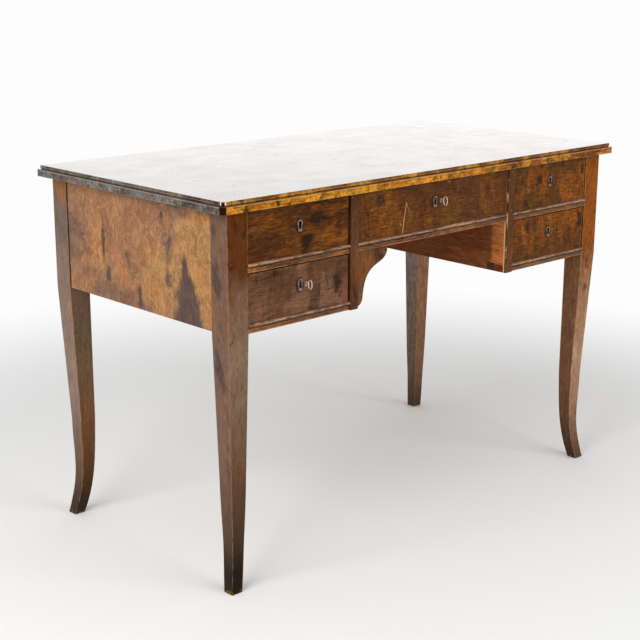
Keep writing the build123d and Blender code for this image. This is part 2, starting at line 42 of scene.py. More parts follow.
# ---- node helpers --------------------------------------------------------------------
class Graph:
    """A small builder for one material's nodes."""

    def __init__(self, name):
        self.material = bpy.data.materials.new(name)
        self.material.use_nodes = True
        self.tree = self.material.node_tree
        self.tree.nodes.clear()
        self.out = self.tree.nodes.new("ShaderNodeOutputMaterial")
        self.place = self.tree.nodes.new("ShaderNodeTexCoord").outputs["Object"]
        self.bent = self.place

    def node(self, kind, inputs=None, **props):
        """A new node, with its inputs set or linked and its properties set."""
        made = self.tree.nodes.new(kind)
        for key, value in props.items():
            setattr(made, key, value)
        for key, value in (inputs or {}).items():
            self.put(made.inputs[key], value)
        return made

    def put(self, socket, value):
        """Link a socket into another, or set it to a plain value."""
        if isinstance(value, bpy.types.NodeSocket):
            self.tree.links.new(value, socket)
        else:
            socket.default_value = value

    def math(self, op, a, b=0.0, clamp=False):
        made = self.node("ShaderNodeMath", {0: a, 1: b}, operation=op, use_clamp=clamp)
        return made.outputs[0]

    def times(self, *values):
        """The product of several values."""
        total = values[0]
        for value in values[1:]:
            total = self.math("MULTIPLY", total, value)
        return total

    def vec(self, op, a, b=(0, 0, 0)):
        made = self.node("ShaderNodeVectorMath", {0: a, 1: b}, operation=op)
        scalar = op in ("LENGTH", "DOT_PRODUCT", "DISTANCE")
        return made.outputs["Value" if scalar else "Vector"]

    def scaled(self, scale, offset=(0, 0, 0), source=None, turn=(0, 0, 0)):
        """Places on the object, stretched for a pattern to be drawn on."""
        made = self.node("ShaderNodeMapping", {"Vector": source or self.place,
                                               "Scale": scale, "Location": offset,
                                               "Rotation": turn})
        return made.outputs[0]

    def noise(self, source, scale=1.0, detail=2.0, rough=0.5, warp=0.0):
        made = self.node("ShaderNodeTexNoise", {"Vector": source, "Scale": scale,
                                                "Detail": detail, "Roughness": rough,
                                                "Distortion": warp})
        return made.outputs[0]

    def sway(self, source, amount):
        """A small shift of place that bends whatever is drawn over it."""
        made = self.node("ShaderNodeTexNoise", {"Vector": source, "Scale": 1.0,
                                                "Detail": 2.0})
        centred = self.vec("SUBTRACT", made.outputs["Color"], (0.5, 0.5, 0.5))
        return self.vec("MULTIPLY", centred, (amount, amount, amount))

    def ramp(self, value, low, high, smooth=True):
        """0 at low, 1 at high."""
        made = self.node("ShaderNodeMapRange",
                         {0: value, 1: low, 2: high, 3: 0.0, 4: 1.0},
                         interpolation_type="SMOOTHSTEP" if smooth else "LINEAR")
        return made.outputs[0]

    def span(self, value, low, high, out_low, out_high):
        """out_low at low, out_high at high."""
        made = self.node("ShaderNodeMapRange", {0: value, 1: low, 2: high, 3: out_low,
                                                4: out_high})
        return made.outputs[0]

    def mix(self, fac, a, b, mode="MIX"):
        made = self.node("ShaderNodeMix", data_type="RGBA", blend_type=mode)
        self.put(made.inputs[0], fac)
        self.put(made.inputs[6], a)
        self.put(made.inputs[7], b)
        return made.outputs[2]

    def tint(self, colour, value):
        """A colour multiplied by a grey value."""
        grey = self.node("ShaderNodeCombineColor", {0: value, 1: value, 2: value})
        return self.mix(1.0, colour, grey.outputs[0], "MULTIPLY")

    def axes(self):
        """The place's X, Y and Z in metres."""
        split = self.node("ShaderNodeSeparateXYZ", {0: self.place})
        return split.outputs[0], split.outputs[1], split.outputs[2]

    def facing(self, direction):
        """1 on faces that look along a direction, 0 on the others."""
        normal = self.node("ShaderNodeNewGeometry").outputs["True Normal"]
        return self.ramp(self.vec("DOT_PRODUCT", normal, direction), 0.76, 0.88)

    def edge(self, radius):
        """0 on a flat face, towards 1 on an arris."""
        soft = self.node("ShaderNodeBevel", {"Radius": radius}, samples=6)
        flat = self.node("ShaderNodeNewGeometry")
        same = self.vec("DOT_PRODUCT", soft.outputs[0], flat.outputs["True Normal"])
        return self.math("SUBTRACT", 1.0, same, clamp=True)

    def crevice(self, reach):
        """Towards 1 in corners and gaps narrower than the reach."""
        made = self.node("ShaderNodeAmbientOcclusion", {"Distance": reach}, samples=6)
        return self.math("SUBTRACT", 1.0, made.outputs["AO"], clamp=True)

    def stroke(self, start, end, width, plane):
        """A thin worn line between two points, measured in the plane's two axes."""
        keep = Vector([0.0 if i == plane else 1.0 for i in range(3)])
        a = Vector([v * k for v, k in zip(start, keep)])
        b = Vector([v * k for v, k in zip(end, keep)])
        run = b - a
        flat = self.vec("MULTIPLY", self.place, tuple(keep))
        rel = self.vec("SUBTRACT", flat, tuple(a))
        along = self.math("DIVIDE", self.vec("DOT_PRODUCT", rel, tuple(run)),
                          run.length_squared)
        held = self.math("MINIMUM", self.math("MAXIMUM", along, 0.0), 1.0)
        scale = self.node("ShaderNodeVectorMath", {0: tuple(run)}, operation="SCALE")
        self.put(scale.inputs["Scale"], held)
        off = self.vec("DISTANCE", rel, scale.outputs["Vector"])
        ragged = self.noise(self.scaled((700, 700, 700)), 1.0, 1.0)
        return self.math("LESS_THAN", off, self.math("MULTIPLY", ragged, width * 2))

    def spot(self, centre, size, plane=None):
        """1 at a point, falling to 0 at the edge of an ellipse round it."""
        flat = self.vec("DIVIDE", self.vec("SUBTRACT", self.place, centre), size)
        if plane is not None:
            keep = tuple(0.0 if i == plane else 1.0 for i in range(3))
            flat = self.vec("MULTIPLY", flat, keep)
        return self.ramp(self.vec("LENGTH", flat), 1.0, 0.0)

    def spots(self, entries, plane):
        """The sum of several weighted spots, given by their two axes in the plane."""
        total = 0.0
        for u, w, wide, tall, weight in entries:
            centre = [u, w]
            centre.insert(plane, 0.0)
            size = [wide, tall]
            size.insert(plane, 1.0)
            blob = self.spot(tuple(centre), tuple(size), plane)
            total = self.math("ADD", total, self.math("MULTIPLY", blob, weight))
        return total


# ---- wood ----------------------------------------------------------------------------
# How far each pattern is drawn out along the grain.
GRAIN = {"x": (0.06, 1.0, 1.0), "y": (1.0, 0.06, 1.0), "z": (1.0, 1.0, 0.06)}
FLAME = {"x": (0.36, 1.0, 1.0), "y": (1.0, 0.36, 1.0), "z": (1.0, 1.0, 0.36),
         "even": (0.75, 0.75, 0.75)}
DASH = {"x": (0.22, 1.0, 1.0), "y": (1.0, 0.22, 1.0), "z": (1.0, 1.0, 0.22)}
SHELLAC = (1.0, 0.55, 0.2, 1)           # the warm tint of its reflections


def stretched(g, along, scale, seed, table=GRAIN, source=None):
    """Places for a pattern of the given scale, with its own start for each seed."""
    shape = tuple(v * scale for v in table[along])
    return g.scaled(shape, (seed * 1.7, seed * 2.3, seed * 3.1), source or g.bent)


def wood(name, along, tones, seed, run=None, scale=10.0, pale=0.7, flames=0.5, mottle=0.5,
         grain=0.5, lines=0.4, amber=0.5, coat=0.15, coat_rough=0.22, rough=0.45,
         gloss=0.2, pale_edge=0.4, rub="A0703E", grime_and_shade=0.6, dark_spots=(), pale_spots=(),
         plane=1, paint=None, marks=None, bump=0.5, specks=0.0, arris=0.0011, wear=0.0019,
         soft=0.12, curls=75.0, calm=None):
    """Stained and polished birch, or bare softwood, with its grain along one axis.

    tones are its light, middle and dark colours. run is the way of its larger figure,
    where that isn't the grain's. paint may change the ground under the figure, calm fades
    the figure back to that ground, and marks are drawn over it.
    """
    g = Graph(name)
    light, mid, dark = [srgb(code) for code in tones]
    wide = g.sway(stretched(g, along, 5.0, seed, FLAME, g.place), 0.06)
    near = g.sway(stretched(g, along, 34.0, seed + 9, FLAME, g.place), 0.014)
    g.bent = g.vec("ADD", g.place, g.vec("ADD", wide, near))
    run = run or along
    # Patterns, from the broad clouds of the figure down to the pores.
    tone = g.noise(stretched(g, run, scale, seed + 2, FLAME), 1.0, 4.0, 0.6, 0.4)
    if pale_spots:
        tone = g.math("ADD", tone, g.spots(pale_spots, plane))
    field = g.noise(stretched(g, run, scale * 2.3, seed + 1, FLAME), 1.0, 6.0, 0.66, 0.7)
    if dark_spots:
        field = g.math("ADD", field, g.spots(dark_spots, plane))
    hue = g.noise(stretched(g, run, scale * 1.7, seed + 6, FLAME), 1.0, 3.0, 0.6, 0.5)
    curl = g.noise(stretched(g, run, curls, seed + 3, FLAME), 1.0, 5.0, 0.62, 1.6)
    streak = g.noise(stretched(g, along, 240.0, seed + 4), 1.0, 4.0, 0.62)
    fine = g.noise(stretched(g, along, 800.0, seed + 5), 1.0, 2.0, 0.6)
    pores = g.noise(stretched(g, along, 420.0, seed + 7), 1.0, 2.0, 0.5)
    colour = mid
    if paint:
        colour, light, dark = paint(g, light, mid, dark)
    ground = colour
    # Pale, amber and red clouds, then the dark flames, on the ground colour.
    colour = g.mix(g.times(g.ramp(tone, 0.44, 0.62), pale), colour, light)
    colour = g.mix(g.times(g.ramp(hue, 0.46, 0.64), amber), colour,
                   g.mix(1.0, colour, (1.22, 1.02, 0.62, 1), "MULTIPLY"))
    red = g.noise(stretched(g, run, scale * 1.3, seed + 12, FLAME), 1.0, 3.0, 0.6, 0.5)
    colour = g.mix(g.times(g.ramp(red, 0.5, 0.66), amber), colour,
                   g.mix(1.0, colour, (1.1, 0.8, 0.8, 1), "MULTIPLY"))
    low = 0.66 - 0.15 * flames
    colour = g.mix(g.times(g.ramp(field, low - 0.01, low + soft), 0.94), colour, dark)
    # Curl, streaks, speckle and fibres make it lighter and darker.
    colour = g.tint(colour, g.span(curl, 0.37, 0.63, 1 - 0.46 * mottle,
                                   1 + 0.40 * mottle))
    colour = g.tint(colour, g.span(streak, 0.35, 0.65, 1 - 0.46 * grain,
                                   1 + 0.38 * grain))
    speckle = g.noise(stretched(g, along, 290.0, seed + 8, DASH), 1.0, 2.0, 0.6, 0.6)
    colour = g.tint(colour, g.span(speckle, 0.36, 0.64, 1 - 0.42 * mottle,
                                   1 + 0.38 * mottle))
    colour = g.tint(colour, g.span(fine, 0.3, 0.7, 1 - 0.2 * grain, 1 + 0.16 * grain))
    colour = g.mix(g.times(g.ramp(pores, 0.58, 0.68), lines), colour,
                   g.tint(colour, 0.35))
    if calm:
        colour = g.mix(calm(g), colour, ground)
    if marks:
        colour = marks(g, colour)
    if specks:
        cells = g.node("ShaderNodeTexVoronoi", {"Vector": g.scaled((90, 90, 90)),
                                                "Scale": 1.0})
        chance = g.node("ShaderNodeSeparateColor", {0: cells.outputs["Color"]})
        dot = g.math("MULTIPLY", g.math("LESS_THAN", cells.outputs["Distance"], 0.1),
                     g.math("LESS_THAN", chance.outputs[0], specks))
        colour = g.mix(g.math("MULTIPLY", dot, 0.6), colour, srgb("B98A60"))
    # Dirt and painted shade in the corners and gaps, and bare wood on the rubbed arrises.
    dirt_and_shade = g.math("MULTIPLY", g.crevice(0.011), grime_and_shade, clamp=True)
    colour = g.mix(dirt_and_shade, colour, srgb("160D07"))
    ragged = g.ramp(g.noise(g.scaled((60, 60, 60)), 1.0, 5.0, 0.7), 0.36, 0.56)
    rubbed = g.times(g.ramp(g.edge(wear), 0.04, 0.3), ragged, pale_edge)
    colour = g.mix(rubbed, colour, srgb(rub))
    relief = g.math("ADD", g.math("MULTIPLY", streak, 0.6), g.math("MULTIPLY", fine, 0.4))
    round_edge = g.node("ShaderNodeBevel", {"Radius": arris}, samples=6)
    skin = g.node("ShaderNodeBump", {"Strength": bump, "Distance": 0.0004,
                                     "Height": relief, "Normal": round_edge.outputs[0]})
    haze = g.noise(g.scaled((14, 14, 14)), 1.0, 4.0, 0.65)
    surface = g.node("ShaderNodeBsdfPrincipled", {
        "Base Color": colour, "Normal": skin.outputs[0],
        "Roughness": g.span(haze, 0.3, 0.7, rough - 0.07, rough + 0.09),
        "Coat Weight": coat(g) if callable(coat) else coat, "Coat Roughness": coat_rough,
        "Coat Normal": round_edge.outputs[0], "Specular IOR Level": gloss,
        "Specular Tint": SHELLAC})
    g.put(g.out.inputs[0], surface.outputs[0])
    return g.material


def metal(name, colour, rough, dull=0.5, dark="1C1712"):
    """Brushed metal with tarnish spots, and dirt with painted shade in its corners."""
    g = Graph(name)
    spots = g.noise(g.scaled((260, 260, 260)), 1.0, 4.0, 0.7)
    brushed = g.noise(g.scaled((2600, 300, 300)), 1.0, 2.0, 0.5)
    tarnish = g.math("MULTIPLY", g.ramp(spots, 0.42, 0.68), dull)
    shade = g.mix(tarnish, colour, srgb(dark))
    # Dirt and painted shade darken its corners and gaps.
    shade = g.mix(g.math("MULTIPLY", g.crevice(0.003), 0.9, clamp=True), shade,
                  srgb("0A0604"))
    lift = g.node("ShaderNodeBump", {"Strength": 0.25, "Distance": 0.0001,
                                     "Height": brushed})
    surface = g.node("ShaderNodeBsdfPrincipled", {
        "Base Color": shade, "Metallic": 1.0, "Normal": lift.outputs[0],
        "Roughness": g.span(spots, 0.3, 0.7, rough - 0.08, rough + 0.16)})
    g.put(g.out.inputs[0], surface.outputs[0])
    return g.material


def dress(name, material):
    """Give a CAD node its material."""
    node = nodes[name]
    node.data.materials.clear()
    node.data.materials.append(material)


# ---- finishes ------------------------------------------------------------------------
def top_ground(g, light, mid, dark):
    """A slate grey painted reflection on the left edge, mottled amber in front, and an even
    upper face.
    """
    x, y, z = g.axes()
    side = g.facing(LEFT)
    front = g.facing(FRONT)
    upper = g.ramp(z, *TOP_STEP)
    patch = g.spots([(-0.087, 0.752, 0.04, 0.03, 1.0), (0.19, 0.745, 0.03, 0.02, 0.5)], 0)
    # The left edge's slate grey, broken by brown patches and darker towards the front, is a
    # painted reflection.
    left_reflection = g.mix(patch, srgb("535250"), srgb("6A4E34"))
    left_reflection = g.mix(g.ramp(y, -0.05, -0.28), left_reflection, srgb("3A302A"))
    edge = g.mix(g.ramp(x, -0.1, 0.5), srgb("A0640E"), srgb("6A380A"))
    edge = g.mix(g.spots([(-0.10, 0.745, 0.16, 0.05, 0.6)], 1), edge, srgb("C07A1C"))
    edge = g.mix(g.times(upper, 0.6), edge, srgb("4A260A"))
    ground = g.mix(side, g.mix(front, mid, edge), left_reflection)
    # The left edge's light and dark tones are grey too, as part of the same painted
    # reflection.
    glow = g.mix(side, g.mix(front, light, srgb("C88A2C")), srgb("72706E"))
    shade = g.mix(side, g.mix(front, dark, srgb("2A1404")), srgb("242226"))
    return ground, glow, shade


# X, Y, length and width of each dent, and X, Y of the two glints on the canted corner.
TOP_DENTS = [(-0.4625, -0.0706, 0.010, 0.004), (-0.438, -0.1595, 0.008, 0.004),
             (-0.0687, -0.0441, 0.014, 0.003), (-0.0282, -0.1749, 0.009, 0.004),
             (0.1007, -0.2109, 0.030, 0.003), (0.5161, -0.1998, 0.020, 0.005)]
GLINTS = [(-0.5705, -0.2797), (-0.5642, -0.2860)]
# Height, half width and strength of each painted highlight line along the top's bands.
TOP_HIGHLIGHTS = [(0.7502, 0.0009, 0.7), (0.7556, 0.0007, 0.45), (0.7382, 0.0008, 0.3)]


def top_dents(g):
    """Small knocks in the polish of the upper face."""
    total = 0.0
    for u, w, wide, tall in TOP_DENTS:
        dent = g.ramp(g.spot((u, w, 0), (wide, tall, 1), 2), 0.0, 0.8)
        total = g.math("MAXIMUM", total, dent)
    return total


def top_coat(g):
    """A high polish on the upper face, broken at the dents, and little on the edges."""
    whole = g.math("SUBTRACT", 1.0, g.math("MULTIPLY", top_dents(g), 0.6))
    return g.math("MULTIPLY", whole, g.span(g.facing(UP), 0.0, 1.0, 0.06, 1.0))


def top_calm(g):
    """The upper face is far more even than the edges."""
    return g.times(g.facing(UP), 0.88)


def top_marks(g, colour):
    """Grain on the upper face, painted highlights along both bands, a painted dark
    reflection and glints on the cant, and dents.
    """
    z = g.axes()[2]
    flat = g.facing(UP)
    bent = g.vec("ADD", g.place, g.sway(g.scaled((7, 16, 7)), 0.05))
    bands = g.noise(g.scaled((1.6, 26, 26), source=bent), 1.0, 5.0, 0.62, 0.5)
    fibres = g.noise(g.scaled((9, 330, 330), source=bent), 1.0, 3.0, 0.6)
    colour = g.mix(flat, colour, g.tint(colour, g.span(bands, 0.34, 0.66, 0.74, 1.26)))
    colour = g.mix(flat, colour, g.tint(colour, g.span(fibres, 0.3, 0.7, 0.86, 1.15)))
    # Painted highlights: light lines along both bands on the upright faces.
    upright = g.math("MAXIMUM", g.facing(LEFT), g.facing(FRONT))
    ragged = g.ramp(g.noise(g.scaled((26, 26, 260)), 1.0, 3.0, 0.6), 0.36, 0.52)
    lines = 0.0
    for level, half, weight in TOP_HIGHLIGHTS:
        near = g.ramp(g.math("ABSOLUTE", g.math("SUBTRACT", z, level)),
                      half * 1.5, half * 0.5)
        lines = g.math("ADD", lines, g.math("MULTIPLY", near, weight))
    pale_edge = g.mix(g.facing(LEFT), srgb("B49468"), srgb("94877C"))
    colour = g.mix(g.times(lines, ragged, upright), colour, pale_edge)
    # The canted corner is painted near black as a painted dark reflection, with painted
    # glints on its two arrises.
    normal = g.node("ShaderNodeNewGeometry").outputs["True Normal"]
    cant_reflection = g.ramp(g.vec("DOT_PRODUCT", normal, CANT), 0.92, 0.98)
    colour = g.mix(g.times(cant_reflection, 0.93), colour, srgb("0C0603"))
    for u, w in GLINTS:
        glint = g.ramp(g.spot((u, w, 0.7572), (0.0022, 0.0022, 0.0060)), 0.1, 0.5)
        colour = g.mix(g.math("MULTIPLY", glint, 0.9), colour, srgb("F0E4D2"))
    return g.mix(g.times(top_dents(g), 0.6), colour, srgb("1E120A"))


def panel_marks(g, colour):
    """A light scratch in the dark flame and small dark curls in the figure."""
    line = g.stroke((0, -0.1790, 0.6085), (0, -0.1786, 0.5975), 0.0009, 0)
    colour = g.mix(g.math("MULTIPLY", line, 0.7), colour, srgb("C09A70"))
    ring = g.noise(g.scaled((70, 70, 105), (3, 5, 7)), 1.0, 4.0, 0.6, 1.8)
    thin = g.math("ABSOLUTE", g.math("SUBTRACT", ring, 0.5))
    where = g.ramp(g.noise(g.scaled((22, 22, 22)), 1.0, 2.0), 0.36, 0.58)
    return g.mix(g.times(g.ramp(thin, 0.045, 0.01), where, 0.6), colour, srgb("4A2E22"))


# Y, height, two half sizes and strength of the left panel's dark, pale and grey shapes.
PANEL_DARK = [
    (-0.148, 0.628, 0.016, 0.046, 0.30), (-0.156, 0.590, 0.032, 0.052, 0.36),
    (-0.160, 0.560, 0.044, 0.050, 0.38), (-0.166, 0.530, 0.056, 0.048, 0.44),
    (-0.135, 0.550, 0.060, 0.060, 0.20), (-0.138, 0.516, 0.085, 0.036, 0.34),
    (-0.125, 0.600, 0.030, 0.060, 0.12), (-0.095, 0.655, 0.056, 0.080, 0.22),
    (-0.093, 0.580, 0.018, 0.060, 0.16), (-0.070, 0.700, 0.060, 0.024, 0.14),
    (0.114, 0.615, 0.012, 0.050, 0.36), (0.113, 0.645, 0.014, 0.040, 0.24),
    (0.097, 0.560, 0.014, 0.044, 0.36), (0.037, 0.609, 0.015, 0.028, 0.36),
    (0.028, 0.590, 0.015, 0.026, 0.34), (-0.005, 0.540, 0.013, 0.036, 0.34),
    (-0.012, 0.520, 0.030, 0.020, 0.26), (-0.006, 0.699, 0.013, 0.013, 0.23),
    (-0.079, 0.709, 0.011, 0.013, 0.27), (-0.026, 0.712, 0.030, 0.018, 0.20),
    # The wide band at 0.734 m is a painted shadow under the top's overhang.
    (-0.110, 0.734, 0.140, 0.014, 0.20), (0.060, 0.515, 0.140, 0.022, 0.13),
    (0.150, 0.560, 0.030, 0.040, 0.10), (0.195, 0.630, 0.025, 0.070, 0.10),
]
PANEL_PALE = [
    (-0.195, 0.640, 0.060, 0.110, 0.16), (-0.215, 0.560, 0.022, 0.060, 0.16),
    (-0.060, 0.610, 0.110, 0.080, 0.05), (0.190, 0.700, 0.100, 0.060, -0.08),
    (0.180, 0.560, 0.100, 0.060, -0.10),
]
PANEL_GREY = [
    (0.215, 0.62, 0.11, 0.10, 1.0), (0.10, 0.53, 0.12, 0.05, 0.8),
    (-0.03, 0.52, 0.12, 0.05, 0.7), (-0.12, 0.72, 0.10, 0.03, 0.7),
    (0.10, 0.63, 0.04, 0.08, 0.4), (-0.11, 0.66, 0.03, 0.07, 0.6),
]
# The unseen right panel has the same kind of figure, and the same painted shadow under the
# top, laid out the other way round.
PANEL_FAR = [(0.05 - y, z, wide, tall, 0.7 * weight)
             for y, z, wide, tall, weight in PANEL_DARK]


def stops(g, height, entries):
    """A colour that changes with height, through a list of (metres, code)."""
    colour = srgb(entries[0][1])
    for (low, _), (high, code) in zip(entries, entries[1:]):
        colour = g.mix(g.ramp(height, low, high, False), colour, srgb(code))
    return colour


def leg_ground(front, side, patches=(), smears=()):
    """Ground colours of a leg: its faces differ, those that look neither forward nor left
    take painted shade, and all darken towards the foot.
    """
    def paint(g, light, mid, dark):
        z = g.axes()[2]
        face = g.facing(FRONT)
        flank = g.facing(LEFT)
        waver = g.span(g.noise(g.scaled((20, 20, 8)), 1.0, 3.0), 0.3, 0.7, -0.04, 0.04)
        level = g.math("ADD", z, g.times(waver, g.ramp(z, 0.1, 0.4)))
        # A darker copy of the side's colours is painted shade on the faces that look
        # neither forward nor left.
        shaded = g.mix(1.0, stops(g, level, side), (0.8, 0.76, 0.72, 1), "MULTIPLY")
        ground = g.mix(flank, g.mix(face, shaded, stops(g, level, front)),
                       stops(g, level, side))
        leaning = g.scaled((55, 55, 14), (2, 4, 1), g.scaled((1, 1, 1), turn=(0.5, 0, 0)))
        band = g.noise(leaning, 1.0, 5.0, 0.65, 0.8)
        if patches:
            mask = g.ramp(g.math("ADD", band, g.spots(patches, 0)), 0.56, 0.78)
            ground = g.mix(g.times(mask, flank, 0.72), ground, srgb("3C3233"))
        if smears:
            mask = g.ramp(g.math("ADD", band, g.spots(smears, 1)), 0.56, 0.78)
            ground = g.mix(g.times(mask, face, 0.85), ground, srgb("24130A"))
        glow = g.mix(1.0, ground, (1.22, 1.16, 1.08, 1), "MULTIPLY")
        shade = g.mix(1.0, ground, (0.55, 0.52, 0.54, 1), "MULTIPLY")
        return ground, glow, shade
    return paint


# Y or X, height, two half sizes and strength of the dark smears on the front left leg.
FLANK_SLATE = [
    (-0.238, 0.705, 0.020, 0.034, 0.28), (-0.258, 0.678, 0.016, 0.036, 0.26),
    (-0.238, 0.625, 0.017, 0.036, 0.28), (-0.245, 0.590, 0.024, 0.036, 0.34),
    (-0.262, 0.640, 0.012, 0.026, 0.20), (-0.241, 0.470, 0.016, 0.070, 0.22),
    (-0.250, 0.420, 0.020, 0.045, 0.26), (-0.252, 0.240, 0.016, 0.050, 0.20),
    (-0.262, 0.330, 0.014, 0.070, 0.15),
]
FRONT_SMEARS = [(-0.509, 0.700, 0.010, 0.060, 0.12), (-0.530, 0.715, 0.020, 0.03, 0.12),
                (-0.545, 0.640, 0.012, 0.08, 0.12), (-0.524, 0.600, 0.03, 0.04, 0.08)]


def leg_marks(scratches=()):
    def marks(g, colour):
        """Light scratches down the legs, and a bare tip at the floor."""
        z = g.axes()[2]
        for u, z0, z1, wide in scratches:
            line = g.stroke((0, u, z0), (0, u + 0.003, z1), wide, 0)
            colour = g.mix(g.math("MULTIPLY", line, 0.65), colour, srgb("B08A66"))
        ragged = g.ramp(g.noise(g.scaled((160, 160, 90)), 1.0, 3.0, 0.7), 0.5, 0.6)
        tip = g.times(g.ramp(z, 0.010, 0.002), ragged, 0.6)
        return g.mix(tip, colour, srgb("9A744E"))
    return marks


def keyhole_shade(g, colour, pin):
    """The dark ring round a keyhole plate, set a little to its left: painted shade of the
    gap round it.
    """
    ragged = g.noise(g.scaled((300, 300, 300)), 1.0, 3.0, 0.7)
    ring = g.math("ADD", g.spot((pin[0] - 0.001, 0, pin[1]), (0.0165, 1, 0.0215), 1),
                  g.math("MULTIPLY", ragged, 0.3))
    return g.mix(g.times(g.ramp(ring, 0.3, 0.5), 0.8), colour, srgb("1E120A"))


def front_marks(name, strokes=()):
    low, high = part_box(f"{name}_keyhole_plate")
    pin = ((low[0] + high[0]) / 2, (low[2] + high[2]) / 2)

    def marks(g, colour):
        """Nicks and scratches on a drawer front, and painted shade round its keyhole."""
        colour = keyhole_shade(g, colour, pin)
        for x0, z0, x1, z1, wide in strokes:
            line = g.stroke((x0, 0, z0), (x1, 0, z1), wide, 1)
            colour = g.mix(g.math("MULTIPLY", line, 0.75), colour, srgb("C08E58"))
        return colour
    return marks


def rail_ground(bottom):
    """A bead with painted light on its upper half and painted shade on its lower half, over
    a quirk painted dark as its shade, and a brown fillet.
    """
    def paint(g, light, mid, dark):
        z = g.axes()[2]
        bead = g.ramp(z, bottom + 0.0096, bottom + 0.0102)
        # Painted light on the bead's upper half, painted shade on its lower half.
        lit_crown = g.ramp(z, bottom + 0.0125, bottom + 0.0155)
        # The quirk's groove is painted near black as painted shade.
        quirk_shade = g.times(g.ramp(z, bottom + 0.0076, bottom + 0.0084),
                        g.ramp(z, bottom + 0.0110, bottom + 0.0100))
        ground = g.mix(bead, mid, g.mix(lit_crown, srgb("3C2214"), srgb("6E4C3A")))
        ground = g.mix(quirk_shade, ground, srgb("0C0603"))
        glow = g.mix(bead, light, g.mix(lit_crown, srgb("5A3822"), srgb("A07E66")))
        return ground, glow, g.mix(bead, dark, srgb("2A180E"))
    return paint


def rail_marks(bottom, ends=False):
    def marks(g, colour):
        """A painted highlight along the bead, light wear on the lower arris, and dark ends
        on through tenons.
        """
        x, y, z = g.axes()
        ragged = g.ramp(g.noise(g.scaled((45, 45, 300)), 1.0, 4.0, 0.7), 0.42, 0.56)
        lip = g.times(g.ramp(z, bottom + 0.0026, bottom + 0.0012), ragged,
                      g.facing(FRONT))
        # A painted highlight along the crown of the bead.
        shine = g.ramp(g.math("ABSOLUTE", g.math("SUBTRACT", z, bottom + 0.0142)), 0.0016,
                       0.0007)
        colour = g.mix(g.times(shine, ragged, 0.6), colour, srgb("CFA27C"))
        colour = g.mix(g.times(lip, 0.85), colour, srgb("D09C60"))
        if ends:
            inside = g.ramp(g.math("ABSOLUTE", x), KNEE_X + 0.002, KNEE_X + 0.0005)
            face = g.ramp(y, -0.264, -0.2655)
            colour = g.mix(g.times(inside, face), colour, srgb("2C1403"))
            colour = g.mix(inside, colour, srgb("2C1403"))
        return colour
    return marks


def glue_ghost(g, light, mid, dark):
    """The pale strip where the lost right bracket was glued."""
    _, y, z = g.axes()
    waver = g.math("MULTIPLY", g.noise(g.scaled((60, 60, 90)), 1.0, 4.0, 0.65), 0.012)
    front = g.times(g.ramp(g.math("ADD", y, waver), -0.2235, -0.2345), g.facing(LEFT))
    pale = g.mix(g.ramp(z, 0.5215, 0.5255), srgb("5E2E16"), srgb("AE6C40"))
    pale = g.mix(g.ramp(z, 0.585, 0.612), pale, srgb("C87E50"))
    ground = g.mix(g.times(front, 0.9), mid, pale)
    glow = g.mix(1.0, pale, (1.25, 1.2, 1.12, 1), "MULTIPLY")
    return ground, g.mix(front, light, glow), g.mix(front, dark, srgb("6A3416"))


def facing_marks(g, colour):
    """The right facing's kneehole arris, worn down to bare wood."""
    x, y, _ = g.axes()
    ragged = g.noise(g.scaled((90, 90, 34)), 1.0, 4.0, 0.7)
    low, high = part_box("facing_right")
    split = (low[1] + high[1]) / 2
    inner = g.times(g.facing(LEFT), g.ramp(y, split, split + 0.0006),
                    g.ramp(ragged, 0.2, 0.4))
    arris = g.times(g.ramp(x, KNEE_X + 0.0014, KNEE_X + 0.0006),
                    g.ramp(ragged, 0.52, 0.60))
    colour = g.mix(g.times(g.facing(LEFT), 0.5), colour, srgb("2A1608"))
    return g.mix(g.times(g.math("MAXIMUM", inner, arris), 0.9), colour, srgb("E0AE80"))


def panel_ground(g, light, mid, dark):
    """The panel is greyer towards the back leg and along its foot."""
    y = g.axes()[1]
    cloud = g.noise(g.scaled((30, 30, 22)), 1.0, 5.0, 0.65)
    grey = g.math("ADD", g.spots(PANEL_GREY, 0), g.math("MULTIPLY", cloud, 0.5))
    greyed = g.ramp(grey, 0.45, 1.15)
    ground = g.mix(greyed, mid, srgb("74594A"))
    ground = g.mix(g.ramp(y, *JOINT_Y), ground, srgb("0E0805"))
    return ground, g.mix(greyed, light, srgb("8A664C")), dark


# ---- each piece's finish -------------------------------------------------------------
dress("top", wood("top_birch", "x", ("7A4A22", "5A3414", "3C200C"), 11, run="even",
                  scale=22, pale=0.8, flames=0.75, mottle=0.8, grain=0.45, lines=0.4,
                  coat=top_coat, coat_rough=0.07, rough=0.24, gloss=0.12, pale_edge=0.35,
                  calm=top_calm, rub="8E6A40", bump=0.04, paint=top_ground,
                  marks=top_marks))
for side, seed, shapes in (("left", 3, PANEL_DARK), ("right", 5, PANEL_FAR)):
    dress(f"end_panel_{side}",
          wood(f"end_birch_{side}", "z", ("B0804E", "9A6E4E", "483D3B"), seed, scale=9,
               run="even", pale=0.8, flames=0.32, mottle=0.5, grain=0.16, lines=0.08,
               soft=0.24, curls=48.0, amber=0.3, coat=0.12, coat_rough=0.3, rough=0.5,
               gloss=0.22, pale_edge=0.1, specks=0.12, dark_spots=shapes,
               pale_spots=PANEL_PALE, plane=0, paint=panel_ground, marks=panel_marks))
